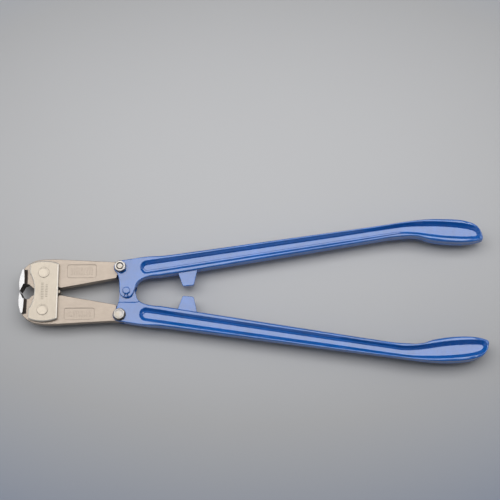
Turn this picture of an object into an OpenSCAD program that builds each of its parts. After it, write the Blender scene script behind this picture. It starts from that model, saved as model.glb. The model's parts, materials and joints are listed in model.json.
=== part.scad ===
// Compound-action end nippers, 600 mm class: two nipper jaws between cover plates,
// driven by two long handles through a toggle.
// X runs from the cutting edges to the grips, Y across the jaws and Z through the thickness.
// Z = 0 is the lowest nut face; the outlines below are drawn from the cutting edge at x = 0.

/* [Overall] */
// Length from the nose of the blades to the end of the grips
overall_length = 593; // [592:0.5:594]
// Furthest the blade lobes stand in front of the cutting edge
nose_lead = 1.9; // [1.5:0.1:2.3]

/* [Linkage] */
// Distance from the cutting edge to the jaw pins
jaw_pin_x = 30; // [29.5:0.1:30.5]
// Distance of each jaw pin from the centre line
jaw_pin_y = 24; // [23.9:0.05:24.2]
// Distance from the cutting edge to the link bolts
link_x = 127; // [126:0.5:128]
// Distance of each link bolt from the centre line
link_y = 30.5; // [30:0.1:31]
// Distance from the cutting edge to the handle pivot
pivot_x = 135; // [134:0.5:136]

/* [Thickness] */
// Thickness of the jaw arms
jaw_thickness = 12; // [11:0.5:12]
// Thickness of each cover plate
plate_thickness = 5; // [4:0.5:6]
// Gap between a jaw and a cover plate
plate_gap = 0.1; // [0.05:0.05:0.3]
// Thickness of the handles at the fork
fork_thickness = 20; // [19:0.5:22]
// Width of the slot that takes the jaw tail and the tongue
fork_slot = 12.6; // [12.4:0.1:13]
// Thickness of the tongue and of the stop lugs
tongue_thickness = 12; // [11:0.5:12]
// Thickness of the handle shafts
shaft_thickness = 17.5; // [16:0.5:19]
// Thickness of the grips
grip_thickness = 24; // [22:0.5:26]
// Thickness of the web between the two channels of a handle
web_thickness = 8; // [6:0.5:9]

/* [Jaws] */
// Half of the gap between the cutting edges at rest
edge_gap = 0.55; // [0.52:0.01:0.6]
// Half width of the throat behind the cutting edges
throat_half = 9.3; // [9:0.1:9.6]
// How far the end bevels drop towards the front of the blades
bevel_drop = 4.5; // [4:0.1:5]
// Radius of the rolling knuckles about the jaw pins
knuckle_radius = 23.8; // [23.6:0.05:23.85]
// Radius of the tooth that keeps the jaws in step
tooth_radius = 1.8; // [1.5:0.1:2]
// Radius of the socket that takes the tooth
socket_radius = 2.4; // [2.3:0.05:2.6]
// Depth of the plain size panels sunk in the jaws
panel_depth = 0.4; // [0.2:0.1:0.6]

/* [Hardware] */
// Radius of the jaw pins
jaw_pin_radius = 7; // [6.5:0.1:7.5]
// Radius of the link bolt shanks
bolt_radius = 4; // [3.9:0.05:4]
// Radius of the bores that turn on the link bolts
link_bore_radius = 4.05; // [4.03:0.01:4.1]
// Width across the flats of the link bolt heads and nuts
across_flats = 13; // [12.5:0.5:13.5]
// Height of the link bolt heads
head_height = 5.3; // [5:0.1:5.5]
// Height of the link nuts
nut_height = 6.5; // [6:0.1:7]
// Thickness of the plain washers and lock washers
washer_thickness = 1.4; // [1.2:0.1:1.6]
// Radius of the handle pivot pin
pivot_radius = 4; // [3.8:0.1:4.2]
// Radius of the pivot pin head
pivot_head_radius = 4.9; // [4.6:0.1:5]
// Radius of the clearance bore in the hidden tongue of the lower handle
tongue_bore_radius = 6.9; // [6.8:0.05:7]

/* [Handles] */
// Radius of the handle boss round each link bolt
boss_radius = 9; // [8.8:0.1:9.5]
// Radius of the knuckle round the handle pivot
pivot_boss_radius = 9.4; // [9.2:0.1:9.6]
// Distance of the stop lug faces from the centre line, at their inner end
lug_face = 6.1; // [6.05:0.05:6.5]
// Angle through which each handle turns from rest until the lugs meet
closing_angle = 5.5; // [5.4:0.1:5.6]

/* [Hidden] */
$fn = 64;

jaw_pin = [jaw_pin_x, jaw_pin_y];
link = [link_x, link_y];
pivot = [pivot_x, 0];
grip_end = overall_length - nose_lead;
centre_x = grip_end - overall_length / 2;
nut_face = fork_thickness / 2 + washer_thickness + nut_height;
plate_inner = jaw_thickness / 2 + plate_gap;
plate_outer = plate_inner + plate_thickness;
nose_thickness = 2 * plate_outer;
cove_foot = jaw_thickness / 2 + 0.05;

// Blade outline in plan
shoulder_x = 9.5;
blade_back_x = 4.5;
bevel_back_x = 5.6;
lobe_top = [2.4, 27.4];
lobe_corner = [3.3, 28.3];
// Cover plate outline in plan
plate_left = 12.1;
plate_right = 48.5;
plate_notch = 18.7;
plate_notch_half = 23.3;
plate_arc_radius = 48;
plate_arc_x = 30.5;
plate_apex = 39;
// Shaft edges run straight between these stations
shaft_start = 185;
shaft_end = 470;
lug_x0 = 199;
lug_x1 = 225;
tongue_step = 14;

// Points along a circular arc of n steps from angle a0 to a1
function arc(c, r, a0, a1, n = 16) = [for (i = [0:n]) c + r * [cos(a0 + (a1 - a0) * i / n), sin(a0 + (a1 - a0) * i / n)]];
// Points along a cubic curve that leaves p0 towards p1 and arrives at p3 from p2, without p0
function bend(p0, p1, p2, p3, n = 10) = [for (i = [1:n]) let (t = i / n, s = 1 - t)
    s * s * s * p0 + 3 * s * s * t * p1 + 3 * s * t * t * p2 + t * t * t * p3];
// Straight shaft edges: the outer one and the inner one
function outer_edge(x) = 47.4 + 0.1351 * (x - shaft_start);
function inner_edge(x) = 18.1 + 0.1637 * (x - 178);

// The assembly is drawn about its middle plane and moved into the part's own frame
module place() translate([-centre_x, 0, nut_face]) children();
module slab(thickness) linear_extrude(height = thickness, center = true) children();
module at(p, z = 0) translate([p[0], p[1], z]) children();
module hexagon(height) rotate(30) cylinder(h = height, r = across_flats / sqrt(3), $fn = 6);

// ---------- Handles ----------

// Leg and fork from the pivot knuckle up round the link boss, then the shaft and grip back to the crotch
handle_outline = concat(
    arc(pivot, pivot_boss_radius, -20, -180, 20),
    bend([125.6, 0], [125.6, 11], [125.2, 17], [121.8, 23.1]),
    arc(link, boss_radius, 225, 100, 16),
    [[160, 44.9]],
    bend([160, 44.9], [168, 46.1], [177, 46.3], [shaft_start, outer_edge(shaft_start)], 6),
    [[shaft_end, outer_edge(shaft_end)]],
    bend([shaft_end, outer_edge(shaft_end)], [494, 89.1], [514, 93], [537, 93], 8),
    bend([537, 93], [558, 93], [grip_end - 5, 92], [grip_end - 0.8, 71]),
    arc([grip_end - 5, 67.7], 5, 30, -60, 6),
    bend([grip_end - 2.5, 63.4], [579, 60.5], [570, 59], [560, 59], 6),
    bend([560, 59], [546, 59], [532, 60.5], [522, 62.7], 6),
    bend([522, 62.7], [514, 65.1], [509, 68.5], [496, 68.2], 6),
    [[shaft_end, inner_edge(shaft_end)], [178, inner_edge(178)]],
    bend([178, inner_edge(178)], [162, 18.1], [148, 16.4], [146.6, 3.7], 8));

// The lug's face leans so that it lies flat against the other one when the handles are closed
lug_outline = [[lug_x0, inner_edge(lug_x0) + 2], [206, lug_face], [220, lug_face + 14 * tan(closing_angle)],
    [lug_x1, inner_edge(lug_x1) + 2]];

// Channel between the rims, from its round end behind the fork to the end of the grip
channel_outline = concat(
    arc([160.5, 30.3], 6.4, 260, 100, 12),
    [[480, 83.3]],
    bend([480, 83.3], [500, 86.3], [518, 86.9], [537, 86.2], 6),
    bend([537, 86.2], [556, 85.4], [572, 83.4], [579.5, 80], 6),
    bend([579.5, 80], [584.5, 77.5], [585.5, 70.5], [581, 69], 6),
    bend([581, 69], [570, 67.8], [556, 68.5], [537, 70.2], 6),
    bend([537, 70.2], [519, 72], [503, 75.6], [480, 73.6], 6));

// Half of the side view: full at the fork, slimmer along the shaft and swelling at the grip
side_profile = concat(
    [[100, fork_thickness / 2], [168, fork_thickness / 2]],
    bend([168, fork_thickness / 2], [178, fork_thickness / 2], [186, shaft_thickness / 2], [200, shaft_thickness / 2], 6),
    [[430, shaft_thickness / 2]],
    bend([430, shaft_thickness / 2], [460, shaft_thickness / 2], [478, grip_thickness / 2], [510, grip_thickness / 2], 6),
    [[563, grip_thickness / 2]],
    bend([563, grip_thickness / 2], [578, grip_thickness / 2], [588, 9], [grip_end + 0.1, 6.5], 5));
side_outline = concat(side_profile, [for (i = [len(side_profile) - 1:-1:0]) [side_profile[i][0], -side_profile[i][1]]]);

module handle_blank() {
    difference() {
        union() {
            intersection() {
                slab(grip_thickness + 1) polygon(handle_outline);
                translate([0, 50, 0]) rotate([90, 0, 0]) slab(150) polygon(side_outline);
            }
            slab(tongue_thickness) polygon(lug_outline);
        }
        for (side = [-1, 1])
            translate([0, 0, side * (web_thickness + grip_thickness) / 2]) slab(grip_thickness) polygon(channel_outline);
        // slot for the jaw tail, open on the side the jaw swings through
        slab(fork_slot) {
            translate(link) circle(r = 11);
            polygon([link + [3, 16], link + [-30, 16], link + [-30, -16], link + [-2.4, -14.6]]);
        }
        at(link, -fork_thickness) cylinder(h = 2 * fork_thickness, r = link_bore_radius);
    }
}

// Clevis handle: its two cheeks hold the pivot pin and the lock screw
module upper_handle() {
    color("royalblue") place() difference() {
        handle_blank();
        slab(fork_slot) {
            translate(pivot) circle(r = 12.8);
            polygon([pivot + [0, 12.8], pivot + [-9, 14], pivot + [-20, 16], pivot + [-20, -16], pivot + [12, -16]]);
        }
        at(pivot, -fork_thickness) cylinder(h = 2 * fork_thickness, r = pivot_radius);
        at(lock_screw, 0) cylinder(h = fork_thickness, r = lock_shank_radius);
    }
}

// Tongue handle: thinned to fit between the cheeks, with a clearance bore round the pin
module lower_handle() {
    color("royalblue") place() mirror([0, 1, 0]) difference() {
        handle_blank();
        for (side = [-1, 1])
            translate([0, 0, side * tongue_thickness])
                slab(tongue_thickness) polygon([pivot + [-20, -20], pivot + [-20, tongue_step], pivot + [14.7, tongue_step],
                    pivot + [22, 0], pivot + [22, -20]]);
        at(pivot, -fork_thickness) cylinder(h = 2 * fork_thickness, r = tongue_bore_radius);
    }
}

// ---------- Jaws ----------

arm_outline = concat(
    [[blade_back_x + 2, throat_half]],
    arc(jaw_pin, knuckle_radius, 218, 315.5, 32),
    [[50.3, 4.5], [52.4, 4.7], [119.5, 16.75]],
    bend([119.5, 16.75], [122.5, 17.3], [122.5, 18], [122, 21], 4),
    arc(link, 9, -105, 60, 14),
    [[123, 38.6], [116.6, 38.1], [50, 41.7], [24, 41.2], [14.7, 38.5],
        [10.5, 36.2], [8.3, 34.5], [6.2, 32.5], [4.2, 30.4], lobe_corner, [blade_back_x + 2, 26]]);

// Thick blade block: its crown stands in front of the cutting edge and its back ends at the shoulder
nose_outline = concat(
    [[blade_back_x, throat_half], [0, edge_gap]],
    bend([0, edge_gap], [-2.55, 8], [-2.52, 18], lobe_top, 12),
    [lobe_corner, [shoulder_x, 27], [shoulder_x, throat_half]]);

// Plan of one size panel, a plain sunk rectangle with round corners
module panel(x0, x1, y0, y1, r = 3) {
    translate([x0 + r, y0]) square([x1 - x0 - 2 * r, y1 - y0]);
    translate([x0, y0 + r]) square([x1 - x0, y1 - y0 - 2 * r]);
    for (x = [x0 + r, x1 - r], y = [y0 + r, y1 - r]) translate([x, y]) circle(r = r);
}

module jaw_blank() {
    difference() {
        union() {
            slab(jaw_thickness) polygon(arm_outline);
            slab(nose_thickness) polygon(nose_outline);
        }
        // end bevels fall away towards the front of the blade, and coves behind them down to the arm
        for (side = [0, 1]) mirror([0, 0, side])
            translate([0, 20, 0]) rotate([90, 0, 0])
                slab(60) polygon([[bevel_back_x, plate_outer], [-4, plate_outer - bevel_drop], [-4, 20], [20, 20],
                    [20, cove_foot], [shoulder_x, cove_foot], [8.4, 6.5], [7.3, 7.4], [6.4, 8.8]]);
        at(jaw_pin, -jaw_thickness) cylinder(h = 2 * jaw_thickness, r = jaw_pin_radius + 0.05);
        at(link, -jaw_thickness) cylinder(h = 2 * jaw_thickness, r = link_bore_radius);
    }
}

module upper_jaw() {
    color("tan") place() difference() {
        union() {
            jaw_blank();
            slab(jaw_thickness) difference() {
                translate([jaw_pin_x, 0]) circle(r = tooth_radius);
                translate([jaw_pin_x, 3]) square([2 * tooth_radius + 1, 4], center = true);
            }
        }
        translate([0, 0, jaw_thickness / 2 - panel_depth]) linear_extrude(2) panel(58.7, 96, 17.7, 34.7);
    }
}

module lower_jaw() {
    color("tan") place() difference() {
        mirror([0, 1, 0]) jaw_blank();
        at([jaw_pin_x, 0], -jaw_thickness) cylinder(h = 2 * jaw_thickness, r = socket_radius);
        translate([0, 0, jaw_thickness / 2 - panel_depth]) linear_extrude(2) panel(56.7, 95, -36.2, -21.3);
    }
}

// ---------- Head ----------

notch_radius = (plate_notch_half * plate_notch_half + pow(plate_notch - plate_left, 2)) / (2 * (plate_notch - plate_left));
notch_angle = asin(plate_notch_half / notch_radius);
corner_angle = asin((plate_right - plate_arc_x) / plate_arc_radius);
plate_outline = concat(
    arc([plate_notch - notch_radius, 0], notch_radius, -notch_angle, notch_angle, 20),
    arc([plate_arc_x, plate_apex - plate_arc_radius], plate_arc_radius, 90 + corner_angle + 0.6, 90 - corner_angle, 12),
    arc([plate_arc_x, plate_arc_radius - plate_apex], plate_arc_radius, corner_angle - 90, -90 - corner_angle - 0.6, 12));

module cover_plate() {
    difference() {
        linear_extrude(plate_thickness) intersection() {
            polygon(plate_outline);
            translate([plate_left, -50]) square([60, 100]);
        }
        for (y = [-jaw_pin_y, jaw_pin_y]) translate([jaw_pin_x, y, -1]) cylinder(h = plate_thickness + 2, r = jaw_pin_radius + 0.02);
    }
}

module front_cover_plate() color("wheat") place() translate([0, 0, plate_inner]) cover_plate();
module back_cover_plate() color("wheat") place() mirror([0, 0, 1]) translate([0, 0, plate_inner]) cover_plate();

// Riveted pin: full radius from face to face, with a low round head and a shallow dish at both ends
module jaw_pin_solid() {
    reach = plate_outer + 0.8;
    difference() {
        translate([0, 0, -reach]) cylinder(h = 2 * reach, r = jaw_pin_radius);
        for (side = [-1, 1]) translate([0, 0, side * (reach + 0.6)]) cylinder(h = 2, r = jaw_pin_radius - 1.6, center = true);
    }
}

module upper_jaw_pin() color("silver") place() at(jaw_pin) jaw_pin_solid();
module lower_jaw_pin() color("silver") place() mirror([0, 1, 0]) at(jaw_pin) jaw_pin_solid();

// Spacer that keeps the plates apart behind the knuckles
module centre_spacer()
    color("silver") place() translate([40.5, -1.7, -plate_inner]) cube([9.8, 3.4, 2 * plate_inner]);

// ---------- Link hardware ----------

// Hexagon bolt whose head is at the back and whose thread end is in front, about the link axis
module link_bolt() {
    under_head = fork_thickness / 2 + washer_thickness;
    translate([0, 0, -under_head - head_height]) hexagon(head_height);
    translate([0, 0, -under_head - 0.5]) cylinder(h = under_head + 0.5 + nut_face - 0.3, r = bolt_radius);
}
module link_nut() translate([0, 0, nut_face - nut_height]) difference() {
    hexagon(nut_height);
    translate([0, 0, -1]) cylinder(h = nut_height + 2, r = bolt_radius);
}
module link_washer() translate([0, 0, -fork_thickness / 2 - washer_thickness]) difference() {
    cylinder(h = washer_thickness, r = 8);
    translate([0, 0, -1]) cylinder(h = washer_thickness + 2, r = bolt_radius + 0.2);
}
// Split spring washer
module link_lock_washer() translate([0, 0, fork_thickness / 2]) difference() {
    cylinder(h = washer_thickness, r = 7);
    translate([0, 0, -1]) cylinder(h = washer_thickness + 2, r = bolt_radius + 0.15);
    translate([0, -0.6, -1]) cube([10, 1.2, washer_thickness + 2]);
}

module upper_link() color("gainsboro") place() at(link) children();
// The lower bolt goes in from the front, so its set is the upper one turned over
module lower_link() color("gainsboro") place() at([link_x, -link_y]) rotate([180, 0, 0]) children();

module upper_link_bolt() upper_link() link_bolt();
module upper_link_washer() upper_link() link_washer();
module upper_link_lock_washer() upper_link() link_lock_washer();
module upper_link_nut() upper_link() link_nut();
module lower_link_bolt() lower_link() link_bolt();
module lower_link_washer() lower_link() link_washer();
module lower_link_lock_washer() lower_link() link_lock_washer();
module lower_link_nut() lower_link() link_nut();

// ---------- Handle pivot ----------

pivot_head_height = 2.2;
lock_head_radius = 1.9;
lock_shank_radius = 1.2;
lock_screw = [pivot_x, -pivot_head_radius - lock_head_radius - 0.1];

module handle_pivot_pin() color("mediumblue") place() at(pivot) {
    translate([0, 0, -fork_thickness / 2]) cylinder(h = fork_thickness + 0.5, r = pivot_radius);
    translate([0, 0, fork_thickness / 2]) cylinder(h = pivot_head_height, r = pivot_head_radius);
}
module pivot_lock_screw() color("mediumblue") place() at(lock_screw) difference() {
    union() {
        translate([0, 0, fork_slot / 2 + 0.1]) cylinder(h = fork_thickness / 2 - fork_slot / 2, r = lock_shank_radius);
        translate([0, 0, fork_thickness / 2]) cylinder(h = 1.3, r = lock_head_radius);
    }
    translate([-3, -0.3, fork_thickness / 2 + 0.8]) cube([6, 0.6, 2]);
}

front_cover_plate();
back_cover_plate();
upper_jaw_pin();
lower_jaw_pin();
centre_spacer();
upper_jaw();
lower_jaw();
upper_handle();
lower_handle();
upper_link_bolt();
upper_link_washer();
upper_link_lock_washer();
upper_link_nut();
lower_link_bolt();
lower_link_washer();
lower_link_lock_washer();
lower_link_nut();
handle_pivot_pin();
pivot_lock_screw();
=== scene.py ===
"""Looks of the compound-action end nippers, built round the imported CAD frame."""
import json
import math
from contextlib import contextmanager

import bmesh
import bpy
import numpy as np
from bpy.props import FloatProperty, FloatVectorProperty, IntProperty, PointerProperty
from bpy.types import Operator, Panel, PropertyGroup
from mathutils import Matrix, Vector
from mathutils.geometry import delaunay_2d_cdt


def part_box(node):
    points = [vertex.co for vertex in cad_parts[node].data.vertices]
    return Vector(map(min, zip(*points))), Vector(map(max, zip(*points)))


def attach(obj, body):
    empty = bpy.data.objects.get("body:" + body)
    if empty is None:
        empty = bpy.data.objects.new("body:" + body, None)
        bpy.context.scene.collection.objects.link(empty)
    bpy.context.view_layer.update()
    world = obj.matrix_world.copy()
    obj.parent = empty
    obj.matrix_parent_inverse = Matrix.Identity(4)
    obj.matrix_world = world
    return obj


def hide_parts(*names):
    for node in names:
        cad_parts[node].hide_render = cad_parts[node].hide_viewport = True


bl_info = {
    "name": "End nippers",
    "version": (1, 0, 0),
    "blender": (4, 5, 0),
    "location": "View3D > Sidebar > Nippers",
    "description": "Builds the visible pieces, finishes and stage of a pair of compound-action end nippers",
    "category": "Object",
}

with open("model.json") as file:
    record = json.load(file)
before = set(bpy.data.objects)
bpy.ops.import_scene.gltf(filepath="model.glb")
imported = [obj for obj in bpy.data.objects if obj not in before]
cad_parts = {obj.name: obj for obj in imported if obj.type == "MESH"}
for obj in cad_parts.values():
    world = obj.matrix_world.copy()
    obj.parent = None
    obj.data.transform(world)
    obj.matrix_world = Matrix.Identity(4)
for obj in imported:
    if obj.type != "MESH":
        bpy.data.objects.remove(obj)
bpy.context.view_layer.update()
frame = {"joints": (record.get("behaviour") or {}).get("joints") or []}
HINGES = {j["name"]: np.array(j["pos_m"]) * 1000 for j in frame["joints"]}

# Drawing frame, in millimetres: X from the cutting edges, Y from the centre line, Z from the middle plane
JAW_PIN = np.array([30.0, HINGES["upper_jaw_pivot"][1]])
ORIGIN = HINGES["upper_jaw_pivot"] - np.array([JAW_PIN[0], JAW_PIN[1], 0])
LINK = (HINGES["upper_handle_link"] - ORIGIN)[:2]
PIVOT = np.array([sum(corner.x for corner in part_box("handle_pivot_pin")) * 500 - ORIGIN[0], 0.0])
LOCK_SCREW = PIVOT - [0, 6.9]
GRIP_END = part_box("upper_handle")[1].x * 1000 - ORIGIN[0]


# ---------- Outlines in plan ----------

def arc(centre, radius, start, stop, count=16):
    """Points on a circle: centre + radius * (cos a, sin a), with a running evenly from start to stop degrees."""
    a = np.radians(np.linspace(start, stop, count + 1))
    return np.asarray(centre, float) + radius * np.stack([np.cos(a), np.sin(a)], 1)


def bend(p0, p1, p2, p3, count=12):
    """Cubic curve from p0 towards p1, arriving at p3 from p2: the Bernstein sum of the four points."""
    t = np.linspace(0, 1, count + 1)[:, None]
    s = 1 - t
    p0, p1, p2, p3 = (np.asarray(p, float) for p in (p0, p1, p2, p3))
    return s**3 * p0 + 3 * s**2 * t * p1 + 3 * s * t**2 * p2 + t**3 * p3


def signed_area(loop):
    """Half the sum of the cross products of neighbouring points: positive when the loop runs anticlockwise."""
    nxt = np.roll(loop, -1, 0)
    return 0.5 * float(np.sum(loop[:, 0] * nxt[:, 1] - loop[:, 1] * nxt[:, 0]))


def closed(*parts):
    """Joins runs of points into one anticlockwise loop and drops points closer than a hundredth of a millimetre."""
    loop = np.vstack([np.atleast_2d(np.asarray(p, float)) for p in parts])
    loop = loop[np.linalg.norm(loop - np.roll(loop, 1, 0), axis=1) > 0.01]
    return loop if signed_area(loop) > 0 else loop[::-1].copy()


def soften(loop, cut=1.5, count=4):
    """Rounds every corner: the stretch within cut of a corner becomes a curve aimed at the corner."""
    before, after = np.roll(loop, 1, 0) - loop, np.roll(loop, -1, 0) - loop
    reach_b = np.minimum(cut, 0.45 * np.linalg.norm(before, axis=1, keepdims=True))
    reach_a = np.minimum(cut, 0.45 * np.linalg.norm(after, axis=1, keepdims=True))
    start = loop + before / np.linalg.norm(before, axis=1, keepdims=True) * reach_b
    stop = loop + after / np.linalg.norm(after, axis=1, keepdims=True) * reach_a
    t = np.linspace(0, 1, count + 1)[None, :, None]
    curve = (1 - t)**2 * start[:, None] + 2 * t * (1 - t) * loop[:, None] + t**2 * stop[:, None]
    return curve.reshape(-1, 2)


def even(loop, step):
    """Spaces points evenly along the loop by interpolating x and y over its running length."""
    ring = np.vstack([loop, loop[:1]])
    run = np.concatenate([[0], np.cumsum(np.linalg.norm(np.diff(ring, axis=0), axis=1))])
    at = np.linspace(0, run[-1], max(12, int(round(run[-1] / step))), endpoint=False)
    return np.stack([np.interp(at, run, ring[:, 0]), np.interp(at, run, ring[:, 1])], 1)


def eased(loop, step, width):
    """Evenly spaced points averaged over a sliding stretch of the loop, which rounds its corners."""
    loop = even(loop, step)
    half = int(round(width / step / 2))
    return np.mean([np.roll(loop, k, 0) for k in range(-half, half + 1)], 0)


def inward(loop):
    """Unit normals that point into an anticlockwise loop: the neighbours' chord turned left."""
    chord = np.roll(loop, -1, 0) - np.roll(loop, 1, 0)
    normal = np.stack([-chord[:, 1], chord[:, 0]], 1)
    return normal / np.linalg.norm(normal, axis=1, keepdims=True)


def disc(centre, radius, count):
    """A full circle as a loop of count points."""
    return closed(arc(centre, radius, 0, 360, count)[:-1])


# ---------- Solids from outlines ----------

class Solid:
    """Collects rings of vertices and faces in drawing millimetres and makes one closed mesh of them."""

    def __init__(self):
        self.points = []
        self.faces = []
        self.count = 0

    def add(self, points):
        """Adds points as an (n, 3) array and returns their indices."""
        self.points.append(np.asarray(points, float))
        ids = np.arange(self.count, self.count + len(points))
        self.count += len(points)
        return ids

    def wall(self, low, high, flip=False):
        """Quads between two rings of the same length, facing out when low runs anticlockwise below high."""
        quads = np.stack([low, np.roll(low, -1), np.roll(high, -1), high], 1)
        self.faces.append(quads[:, ::-1] if flip else quads)

    def skin(self, rings, flip=False):
        """Adds a stack of rings as one wall and returns the first and the last ring's indices."""
        ids = [self.add(r) for r in rings]
        for low, high in zip(ids[:-1], ids[1:]):
            self.wall(low, high, flip)
        return ids[0], ids[-1]

    def cap(self, loops, height=None, step=None, flip=False, keep=None):
        """Fills the plane between loops, the first outside and the others holes, with triangles.
        With a height function and a step, a grid of points between the loops is lifted to height(x, y)."""
        rim = np.concatenate(loops)
        flat = np.vstack(self.points)[rim][:, :2]
        edges, base = [], 0
        for ids in loops:
            n = len(ids)
            edges += [(base + i, base + (i + 1) % n) for i in range(n)]
            base += n
        new = np.zeros((0, 2)) if keep is None else keep
        if step:
            low, high = flat.min(0), flat.max(0)
            gx, gy = np.meshgrid(np.arange(low[0] + step / 2, high[0], step),
                                 np.arange(low[1] + step / 2, high[1], step))
            inner = np.stack([gx.ravel(), gy.ravel()], 1)
            within = inside(inner, [flat[i:j] for i, j in spans(loops)])
            new = np.vstack([new, inner[within & (gap_to(inner, flat) > 0.45 * step)]])
        out = delaunay_2d_cdt([Vector(p) for p in np.vstack([flat, new])], edges, [], 0, 1e-6, True)
        if not all(out[3]):
            raise RuntimeError("two loops of a cap cross each other")
        if len(new):
            rim = np.concatenate([rim, self.add(np.column_stack([new, height(new[:, 0], new[:, 1])]))])
        back = np.array([o[0] for o in out[3]])
        tris = back[np.array([list(f) for f in out[2]])]
        tris = rim[tris[enclosed(tris, edges)]]
        self.faces.append(tris[:, ::-1] if flip else tris)

    def mesh(self, name):
        """Makes the Blender mesh in metres, in the part's own frame."""
        co = (np.vstack(self.points) + ORIGIN) * 0.001
        data = bpy.data.meshes.new(name)
        data.from_pydata(co, [], [f for block in self.faces for f in block.tolist()])
        data.validate()
        obj = bpy.data.objects.new(name, data)
        bpy.context.scene.collection.objects.link(obj)
        with editing(data) as work:
            bmesh.ops.delete(work, geom=[v for v in work.verts if not v.link_faces], context="VERTS")
        return obj


@contextmanager
def editing(data):
    """Opens a mesh for editing and writes it back at the end."""
    work = bmesh.new()
    work.from_mesh(data)
    yield work
    work.to_mesh(data)
    work.free()


def spans(loops):
    """Start and stop of each loop within the loops laid end to end."""
    stops = np.cumsum([len(ids) for ids in loops])
    return list(zip(np.concatenate([[0], stops[:-1]]), stops))


def inside(points, loops):
    """True where a ray along +X crosses the loops' edges an odd number of times."""
    hits = np.zeros(len(points), int)
    for loop in loops:
        a, b = loop, np.roll(loop, -1, 0)
        py = points[:, 1][:, None]
        crosses = (a[None, :, 1] > py) != (b[None, :, 1] > py)
        rise = np.where(b[:, 1] == a[:, 1], 1e-12, b[:, 1] - a[:, 1])
        x = a[None, :, 0] + (py - a[None, :, 1]) / rise[None, :] * (b[:, 0] - a[:, 0])[None, :]
        hits += np.sum(crosses & (x > points[:, 0][:, None]), 1)
    return hits % 2 == 1


def enclosed(tris, fences):
    """True for triangles an odd number of fence edges away from the outside, found by spreading from the hull."""
    size = int(tris.max()) + 1
    sides = np.sort(np.stack([tris[:, [0, 1]], tris[:, [1, 2]], tris[:, [2, 0]]], 1).reshape(-1, 2), 1)
    keys, back, counts = np.unique(sides[:, 0] * size + sides[:, 1], return_inverse=True, return_counts=True)
    posts = np.sort(np.asarray(fences), 1)
    fence = np.isin(keys, posts[:, 0] * size + posts[:, 1]).astype(int)
    owner = np.repeat(np.arange(len(tris)), 3)[np.argsort(back, kind="stable")]
    first = np.concatenate([[0], np.cumsum(counts)[:-1]])
    parity = np.full(len(tris), -1)
    parity[owner[first[counts == 1]]] = fence[counts == 1]
    pair = np.nonzero(counts == 2)[0]
    one, two, step = owner[first[pair]], owner[first[pair] + 1], fence[pair]
    while np.any(parity < 0):
        for a, b in ((one, two), (two, one)):
            fresh = (parity[a] >= 0) & (parity[b] < 0)
            parity[b[fresh]] = parity[a[fresh]] ^ step[fresh]
    return parity == 1


def gap_to(points, rim):
    """Distance from each point to the nearest rim point."""
    gap = np.full(len(points), np.inf)
    for start in range(0, len(rim), 400):
        gap = np.minimum(gap, np.linalg.norm(points[:, None] - rim[None, start:start + 400], axis=2).min(1))
    return gap


def ring(loop, inset, z):
    """The loop moved inwards by inset, at height z; both may vary from point to point."""
    inset = np.broadcast_to(np.asarray(inset, float), len(loop))
    moved = loop + inward(loop) * inset[:, None]
    return np.column_stack([moved, np.broadcast_to(z, len(loop))])


def quarter_round(count, start=0.0):
    """Pairs (1 - cos a, 1 - sin a) with a running from start to a right angle."""
    return [(1 - math.cos(a), 1 - math.sin(a)) for a in np.linspace(start, math.pi / 2, count + 1)]


def rounded_edge(loop, inset, radius, top, count=5):
    """Rings of a quarter round that starts upright at inset and ends level at top."""
    return [ring(loop, inset + radius * c, top - radius * s) for c, s in quarter_round(count)]


def full_turn(count):
    """Angles in radians, evenly spaced round a full turn."""
    return np.linspace(0, 2 * math.pi, count, endpoint=False)


def circle(radius, z, angles, centre=(0.0, 0.0)):
    """Ring of points at the given angles; radius and z may vary from point to point."""
    return np.column_stack([centre[0] + radius * np.cos(angles), centre[1] + radius * np.sin(angles),
                            np.broadcast_to(z, len(angles))])


def doubled(up):
    """The rings above the middle plane after their mirror images below it, from the bottom up."""
    return [u * [1, 1, -1] for u in up[::-1]] + up


def stack(rings, flip=False):
    """A solid walled by the rings and capped at both ends; flip is for rings laid from the top down."""
    solid = Solid()
    first, last = solid.skin(rings, flip)
    solid.cap([last], flip=flip)
    solid.cap([first], flip=not flip)
    return solid


def slab(loop, low, high, edge=0.6, count=3):
    """A plate between two heights whose edges all round are quarter rounds of radius edge."""
    up = rounded_edge(loop, 0.0, edge, high, count) + [ring(loop, edge + 0.15, high)]
    return stack([np.column_stack([r[:, :2], low + high - r[:, 2]]) for r in up[::-1]] + up)


def lathe(profile, centre, count=72):
    """A turned solid: the (radius, z) profile swept round the centre and closed by a fan of triangles at each end."""
    solid = Solid()
    first, last = solid.skin([circle(r, z, full_turn(count), centre) for r, z in profile])
    for ids, z, flip in ((first, profile[0][1], True), (last, profile[-1][1], False)):
        tip = solid.add([[centre[0], centre[1], z]])[0]
        fan = np.column_stack([ids, np.roll(ids, -1), np.full(count, tip)])
        solid.faces.append(fan[:, ::-1] if flip else fan)
    return solid


def carve(target, tools, operation="DIFFERENCE"):
    """Applies a boolean of each tool to the target and removes the tools."""
    for tool in tools:
        modifier = target.modifiers.new("cut", "BOOLEAN")
        modifier.operation = operation
        modifier.solver = "MANIFOLD"
        modifier.object = tool
        graph = bpy.context.evaluated_depsgraph_get()
        data = bpy.data.meshes.new_from_object(target.evaluated_get(graph))
        if not len(data.polygons):
            raise RuntimeError(f"the cut on {target.name} left nothing")
        target.modifiers.clear()
        target.data = data
        bpy.data.objects.remove(tool)
    return target


def dress(obj, name, body, slot, material, *nodes, crease=32.0):
    """Names the piece, shades it smooth up to the crease angle, and hands it to its body."""
    obj.name = obj.data.name = name
    obj.data.materials.clear()
    obj.data.materials.append(material)
    sharp_by_angle(obj.data, math.radians(crease))
    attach(obj, body)
    if nodes:
        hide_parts(*nodes)
    return obj


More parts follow.
